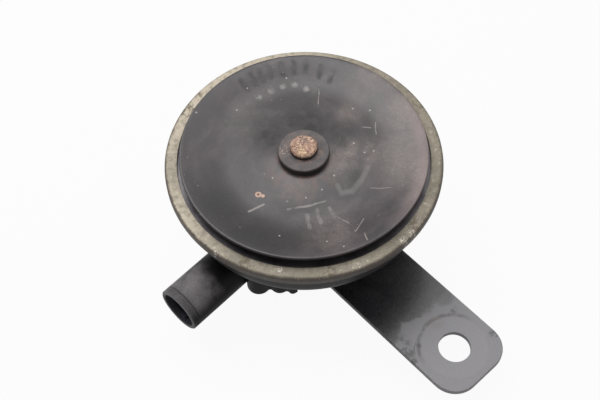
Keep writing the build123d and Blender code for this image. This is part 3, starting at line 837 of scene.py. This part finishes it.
# %% Places and tones of the rivet
# The golden patch is a painted highlight on the front of the head.
gold_highlight_at, gold_highlight_r = (1.4, -1.9), 2.6
steel_patch_at, steel_patch_r = (-1.5, 2.2), 2.6
rust_brown, rust_tan = colour(124, 92, 76), colour(178, 142, 120)
rust_grain, rust_pit = colour(232, 208, 186), colour(70, 52, 48)
# The first colour is a painted highlight and the last is painted shade.
painted_gold_highlight, bare_steel, rivet_side_shade = colour(240, 214, 160), colour(108, 88, 86), colour(22, 18, 18)
print("rust from", rust_brown, "to", rust_tan)


# %% Rivet finish
def make_rivet_rust():
    shader, place = new_finish("rivet_rust", roughness=0.75)
    fine = cloud(place, 0.9, seed=61, detail=4, roughness=0.7)
    grain = cloud(place, 0.42, seed=62, detail=3, roughness=0.7)
    rust = coat(fade(fine, 0.4, 0.6), rust_brown, rust_tan)
    rust = coat(fade(grain, 0.55, 0.62), rust, rust_grain)
    rust = coat(fade(grain, 0.43, 0.34), rust, rust_pit)
    # Painted highlight on the front of the head.
    gold_highlight = spot(place, gold_highlight_at, gold_highlight_r, edge=0.9) * fade(grain, 0.44, 0.54)
    rust = coat(gold_highlight * 0.4, rust, painted_gold_highlight)
    steel_patch = spot(place, steel_patch_at, steel_patch_r, edge=0.7) * fade(fine, 0.58, 0.46)
    rust = coat(steel_patch * 0.6, rust, bare_steel)
    # Painted shade on the lower part of the head, above the washer.
    side_shade = fade(height_of(place) + (fine - 0.5), washer_face + 1.6, washer_face + 0.9)
    rust = coat(side_shade, rust, rivet_side_shade)
    feed(shader, rust, roughness=grain * 0.3 + 0.5, height=grain * 0.12)


make_rivet_rust()
print("rivet nodes", len(materials["rivet_rust"].node_tree.nodes))

# %% [markdown]
# ## Metals and plastics inside
#
# These show only when the horn is opened or seen through the rim's gap. Each is one
# recipe, a plain metal or plastic with a cloud of tone in it, and a table of tones.


# %% Plain finishes
def make_plain(slot, low, high, size, roughness, metallic=0.0, grain=0.01):
    """A cloud between two display colours, with lumps of this size in millimetres."""
    shader, place = new_finish(slot, roughness=roughness, metallic=metallic)
    tone = cloud(place, size, seed=len(materials))
    fine = cloud(place, size / 8, seed=len(materials) + 0.5, detail=4)
    surface = coat(fade(tone, 0.36, 0.64), colour(*low), colour(*high))
    feed(shader, surface, roughness=(fine - 0.5) * 0.3 + roughness, height=fine * grain)


make_plain("spring_steel", (74, 70, 74), (98, 95, 97), 8, 0.42, metallic=0.7)
make_plain("soft_iron", (128, 130, 134), (164, 165, 166), 6, 0.42, metallic=0.9)
make_plain("bobbin_plastic", (186, 180, 158), (204, 198, 178), 12, 0.5)
make_plain("gasket_fibre", (88, 70, 52), (112, 92, 70), 1.5, 0.9, grain=0.05)
make_plain("insulator_brown", (88, 48, 28), (110, 62, 38), 4, 0.5)
make_plain("contact_brass", (176, 142, 82), (204, 172, 108), 6, 0.35, metallic=1.0)
make_plain("contact_silver", (190, 190, 184), (222, 222, 218), 2, 0.3, metallic=1.0)
make_plain("seal_rubber", (26, 26, 26), (38, 38, 38), 3, 0.85, grain=0.02)
make_plain("fastener_zinc", (128, 126, 118), (162, 160, 150), 3, 0.42, metallic=0.8, grain=0.02)
print("finishes so far", len(materials))


# %% [markdown]
# ## Copper winding
#
# The winding is one ring in the solids and hundreds of turns of enamelled wire on the
# real coil. A wave along the axis gives the rows their round backs, as bumps, and painted
# shade in the gaps between them, which is enough for a coil inside a shell. Modelled turns
# would cost a great many faces.

# %% Winding finish
wire_pitch = 0.45
enamel_dark, enamel_pale, wire_gap_shade = colour(150, 78, 44), colour(186, 106, 62), colour(70, 34, 20)


def make_copper():
    """Enamelled wire, lying in rows round the bobbin."""
    shader, place = new_finish("copper", roughness=0.3, metallic=1.0)
    rows = height_of(place) * (tau / wire_pitch)
    rows = rows.math("SINE", rows) * 0.5 + 0.5
    tone = cloud(place, 5, seed=71)
    enamel = coat(fade(tone, 0.4, 0.6), enamel_dark, enamel_pale)
    # Painted shade in the gaps between the rows.
    enamel = coat(fade(rows, 0.3, 0.0) * 0.8, enamel, wire_gap_shade)
    feed(shader, enamel, height=rows * 0.12)


make_copper()
print("finishes", len(materials), "wire pitch", wire_pitch)

# %% [markdown]
# ## Finishes on the solids
#
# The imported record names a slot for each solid, and a finish was made for each slot. So
# putting them on is one loop, and a solid that is added later gets its finish too.

# %% Put the finishes on
for name, piece in nodes.items():
    piece.data.materials.clear()
    piece.data.materials.append(materials[slot_of[name]])
print("finished", len(nodes), "solids")

# %% [markdown]
# ## Rolled dish of the disc
#
# Satin paint shows every kink of a surface. The solid disc is built from a cone, an arc
# and a flat rim, and each joint would show as a crisp ring of light. Pressed sheet flows
# from one to the next, so the disc is turned again here from a few points with a slope at
# each, joined by cubic curves. It keeps the solid's box and its underside.


# %% Lathe helper
def lathe(name, profile, sides, closed=False, shift=None):
    """Turn a profile of radius and height about the horn's axis into a closed mesh."""
    points = []
    for radius, height in profile:
        for k in range(sides):
            angle = tau * k / sides
            point = horn_axis + Vector((radius * cos(angle), radius * sin(angle), height))
            points.append(point + shift(point) if shift else point)
    count = len(profile)
    faces = []
    for r in range(count if closed else count - 1):
        low, high = r * sides, (r + 1) % count * sides
        for k in range(sides):
            n = (k + 1) % sides
            faces.append((low + k, low + n, high + n, high + k))
    if not closed:
        faces.append(tuple(range(sides))[::-1])
        faces.append(tuple((count - 1) * sides + k for k in range(sides)))
    mesh = bpy.data.meshes.new(name)
    mesh.from_pydata(points, [], faces)
    mesh.polygons.foreach_set("use_smooth", [True] * len(mesh.polygons))
    piece = bpy.data.objects.new(name, mesh)
    bpy.context.scene.collection.objects.link(piece)
    return piece


print("lathe turns about", horn_axis)


# %% Smooth line through points
def cubic(start, end, steps):
    """Points from start to end, each given as radius, height and slope."""
    (r0, z0, slope0), (r1, z1, slope1) = start, end
    run = r1 - r0
    points = []
    for k in range(steps):
        t = k / steps
        height = (2 * t**3 - 3 * t**2 + 1) * z0 + (3 * t**2 - 2 * t**3) * z1
        height += run * ((t**3 - 2 * t**2 + t) * slope0 + (t**3 - t**2) * slope1)
        points.append((r0 + t * run, height))
    return points


print("flat line", cubic((0.0, 0.0, 0.0), (1.0, 0.0, 0.0), 2))

# %% Sizes of the disc
disc_t = 1.0 * MM
bore_r = 2.9 * MM
hub_r, valley_r, roll_r = 9.2 * MM, 24.0 * MM, 33.0 * MM
disc_r = disc_high.x - horn_axis.x
hub_flat_r = hub_r - 0.4 * MM
corner_r = 0.3 * MM
lip_drop = 0.05 * MM

rim_z = disc_high.z
valley_z = disc_low.z + disc_t
hub_z = valley_z + 0.5 * MM
roll_z = valley_z + 1.35 * MM
print("disc heights", rim_z, hub_z, valley_z)

# %% Profile of the disc
hub = (hub_r, hub_z, -0.09)             # radius, height and slope
valley = (valley_r, valley_z, 0.0)
roll = (roll_r, roll_z, 0.3)
rim = (disc_r - corner_r, rim_z - lip_drop, 0.13)
top = [(bore_r, hub_z), (hub_flat_r, hub_z)]
top += cubic(hub, valley, 24) + cubic(valley, roll, 16) + cubic(roll, rim, 16)
edge = [rim[:2], (disc_r - corner_r * 0.3, rim_z - corner_r * 0.5), (disc_r, rim_z - corner_r),
        (disc_r, rim_z - disc_t), (disc_r - corner_r, rim_z - disc_t - lip_drop)]
under = [(r, z - disc_t) for r, z in top[::-1]]
print("profile points", len(top + edge + under))

# %% Disc
disc_sides = 256
disc = lathe("dished_disc", (top + edge + under)[::-1], disc_sides, closed=True)
disc.data.materials.append(materials["disc_black"])
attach(disc, "vibrating_group")
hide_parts("tone_disc")
print("disc faces", len(disc.data.polygons))

# %% [markdown]
# ## Rusted rivet head
#
# Rust eats pits and raises scale, so the head's outline is uneven. The solid is a clean
# turned form, so the rivet is lathed again here as a fine mesh, from the same box, and
# its head is pushed in and out by noise.

# %% Sizes of the rivet
rivet_low, rivet_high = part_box("centre_rivet")
washer_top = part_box("centre_washer")[1].z
scale_growth = 1.09                     # rust scale takes more room than the steel did
head_r = (rivet_high.x - rivet_low.x) / 2 * scale_growth
head_t = rivet_high.z - washer_top
shank_r = 2.9 * MM
bend_r = 1.1 * MM
pit_depth = 0.14 * MM
pit_size, grain_size = 0.8 * MM, 0.35 * MM
head_offset = Vector((-0.3, 0.27, 0.0)) * MM   # a peened head is seldom central
sink = 0.02 * MM
print("head radius", head_r, "height", head_t)

# %% Profile of the rivet

profile = [(shank_r, rivet_low.z), (shank_r, washer_top - sink), (head_r - sink, washer_top)]
side_steps, bend_steps, top_steps = 8, 8, 16
for k in range(1, side_steps + 1):
    profile.append((head_r - sink, washer_top + (head_t - bend_r) * k / side_steps))
for k in range(1, bend_steps + 1):
    angle = pi / 2 * k / bend_steps
    bend = Vector((head_r - sink - bend_r + bend_r * cos(angle),
                   rivet_high.z - bend_r + bend_r * sin(angle)))
    profile.append((bend.x, bend.y))
for k in range(1, top_steps):
    profile.append(((head_r - bend_r) * (1 - k / top_steps), rivet_high.z))
print("profile points", len(profile))


# %% Rust pits
def pitted(point):
    """Push the head inwards by rust pits. The shank stays as it is."""
    if point.z < washer_top - sink / 2:
        return Vector()
    depth = noise.noise(point / pit_size) * 0.5 + noise.noise(point / grain_size) * 0.5
    inwards = (horn_axis + Vector((0, 0, washer_top)) - point).normalized()
    return head_offset + inwards * pit_depth * max(0.0, 0.5 + depth)


print("deepest pits", pit_depth)

# %% Rivet
rivet_sides = 96
rivet = lathe("rusted_rivet", profile, rivet_sides, shift=pitted)
rivet.data.materials.append(materials["rivet_rust"])
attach(rivet, "vibrating_group")
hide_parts("centre_rivet")
print("rivet head", round(head_r / MM, 2), "mm by", round(head_t / MM, 2))

# %% [markdown]
# ## Diaphragm that flexes
#
# The steel diaphragm is gripped round its edge by the rim and at its centre by the
# armature, so when the horn sounds it bends in between. A bend between two bodies runs
# along one straight line, and this one runs outwards all round. So the diaphragm is cut
# like a cake into equal leaves, each a closed sector.

# %% Sizes of the diaphragm
sheet_low, sheet_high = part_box("diaphragm")
sheet_t = 0.4 * MM
sheet_r = sheet_high.x - horn_axis.x
eye_r = 3.0 * MM
bead_r = 35.5 * MM
bead_half_w = 2.2 * MM
bead_h = sheet_high.z - sheet_low.z - sheet_t
bead_arc_r = (bead_half_w**2 + bead_h**2) / (2 * bead_h)
print("sheet radius", sheet_r, "bead height", bead_h)

# %% Line from the eye to the rim
flat_steps, bead_steps, rim_steps = 20, 16, 4
bead_start, bead_end = bead_r - bead_half_w, bead_r + bead_half_w
sheet_line = [(eye_r + (bead_start - eye_r) * k / flat_steps, 0.0) for k in range(flat_steps)]
for k in range(bead_steps + 1):
    across = bead_half_w * (2 * k / bead_steps - 1)
    rise = (bead_arc_r**2 - across**2) ** 0.5 - bead_arc_r + bead_h
    sheet_line.append((bead_r + across, rise))
sheet_line += [(bead_end + (sheet_r - bead_end) * k / rim_steps, 0.0)
               for k in range(1, rim_steps + 1)]
print("points in the line", len(sheet_line))

# %% Points of a leaf
leaf_count = 8
leaf_steps = 16


def leaf_points(index):
    """The line at each step round the leaf, once for the underside and once on top."""
    points = []
    for step in range(leaf_steps + 1):
        angle = tau * (index + step / leaf_steps) / leaf_count
        way = Vector((cos(angle), sin(angle), 0.0))
        for lift in (0.0, sheet_t):
            points += [horn_axis + way * r + Vector((0, 0, sheet_low.z + z + lift))
                       for r, z in sheet_line]
    return points


print("points in a leaf", len(leaf_points(0)))


# %% Faces of a leaf
def leaf_faces():
    """Underside, top, both ends and both cut sides of a leaf."""
    count = len(sheet_line)
    ring = 2 * count
    faces = []
    for step in range(leaf_steps):
        a, b = step * ring, (step + 1) * ring
        for k in range(count - 1):
            faces.append((a + k, b + k, b + k + 1, a + k + 1))
            top = count + k
            faces.append((a + top, a + top + 1, b + top + 1, b + top))
        faces.append((a, a + count, b + count, b))
        faces.append((a + count - 1, b + count - 1, b + ring - 1, a + ring - 1))
    last = leaf_steps * ring
    for k in range(count - 1):
        faces.append((k, k + 1, count + k + 1, count + k))
        faces.append((last + k, last + count + k, last + count + k + 1, last + k + 1))
    return faces


print("faces in a leaf", len(leaf_faces()))


# %% Leaves
def leaf(index):
    """One closed sector of the diaphragm."""
    mesh = bpy.data.meshes.new(f"diaphragm_leaf_{index}")
    mesh.from_pydata(leaf_points(index), [], leaf_faces())
    mesh.materials.append(materials["spring_steel"])
    piece = bpy.data.objects.new(mesh.name, mesh)
    bpy.context.scene.collection.objects.link(piece)
    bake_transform(piece)
    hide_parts("diaphragm")


for index in range(leaf_count):
    leaf(index)
print("leaves", leaf_count, "bead", round(bead_h / MM, 2), "mm high")

# %% [markdown]
# ## Floor
#
# The horn stands on a plain white sheet. Seen directly the sheet is white by a glow of
# its own, so it needs no strong lamps, and what it adds to the light on the horn stays
# small. In glossy reflections it glows less than half as much, because under a black
# shell a fully white floor would turn the paint grey.

# %% Floor
seen_rays = ("Is Camera Ray", "Is Glossy Ray", "Is Transmission Ray")
floor_seen = (0.94, 0.45, 0.94)         # how much of the glow each kind of ray sees
floor_size = 4.0
floor_gap = 0.2 * MM
floor_z = cad_box[0][2] - floor_gap

floor_mesh = bpy.data.meshes.new("floor")
half = floor_size / 2
floor_mesh.from_pydata([(-half, -half, floor_z), (half, -half, floor_z), (half, half, floor_z),
                        (-half, half, floor_z)], [], [(0, 1, 2, 3)])
floor = bpy.data.objects.new("floor", floor_mesh)
bpy.context.scene.collection.objects.link(floor)
print("floor height", floor_z)

# %% Paper
paper_tone = colour(208, 208, 208)
paper_roughness = 0.9
paper = bpy.data.materials.new("paper")
paper.use_nodes = True
tree = paper.node_tree
shader = tree.nodes["Principled BSDF"]
shader.inputs["Base Color"].default_value = paper_tone
shader.inputs["Roughness"].default_value = paper_roughness
shader.inputs["Specular IOR Level"].default_value = 0.0
wire = Wire(tree)
seen = any_of([wire.node("ShaderNodeLightPath", output=ray) * share
               for ray, share in zip(seen_rays, floor_seen)])
glow = wire.node("ShaderNodeEmission", None, {"Strength": 1.0})
lit = Wire(tree, shader.outputs[0])
sheet = wire.node("ShaderNodeMixShader", None, {0: seen, 1: lit, 2: glow})
tree.links.new(sheet.socket, tree.nodes["Material Output"].inputs["Surface"])
floor_mesh.materials.append(paper)
print("paper nodes", len(tree.nodes))

# %% [markdown]
# ## Surroundings
#
# The room is white to the eye and in reflections, and lights matt surfaces only a little.
# One light path node tells these rays apart. With a plain white world the shadows under
# the rim would vanish.

# %% Surroundings
room_light = 0.27
world = bpy.data.worlds.new("studio")
world.use_nodes = True
bpy.context.scene.world = world
tree = world.node_tree
wire = Wire(tree)
seen = any_of([wire.node("ShaderNodeLightPath", output=ray) for ray in seen_rays])
background = tree.nodes["Background"]
background.inputs["Color"].default_value = (1, 1, 1, 1)
tree.links.new((seen * (1 - room_light) + room_light).socket, background.inputs["Strength"])
print("room light", room_light)

# %% [markdown]
# ## Lamps
#
# Satin black shows mostly what it mirrors, so the lamps are large softboxes, and their
# places decide where the disc, the tube and the strip turn pale. The main one hangs over
# the far left of the rim, and a weaker one stands beside it for the disc's right half.
# Their brightness is given against white paper, which is easier to judge than watts.


# %% Lamps
def softbox(name, place, aim, size, brightness):
    """Rectangular lamp whose surface is this many times as bright as white paper."""
    data = bpy.data.lights.new(name, "AREA")
    data.shape = "RECTANGLE"
    data.size, data.size_y = size
    data.energy = brightness * pi * size[0] * size[1]
    lamp = bpy.data.objects.new(name, data)
    lamp.location = place
    lamp.rotation_euler = (Vector(aim) - Vector(place)).to_track_quat("-Z", "Y").to_euler()
    lamp.visible_camera = False
    bpy.context.scene.collection.objects.link(lamp)
    return lamp


lamp_aim = (-0.06, 0.0, 0.02)
main_lamp = softbox("main", (-0.32, -0.03, 0.53), lamp_aim, size=(0.42, 0.42), brightness=4.4)
side_lamp = softbox("side", (-0.07, 0.31, 0.53), lamp_aim, size=(0.46, 0.42), brightness=1.7)
print("lamps, watts", main_lamp.data.energy, side_lamp.data.energy)

# %% [markdown]
# ## View
#
# The standard view shows colours as they are written.

# %% View settings
view_settings = bpy.context.scene.view_settings
view_settings.view_transform = "Standard"
print("view", view_settings.view_transform)
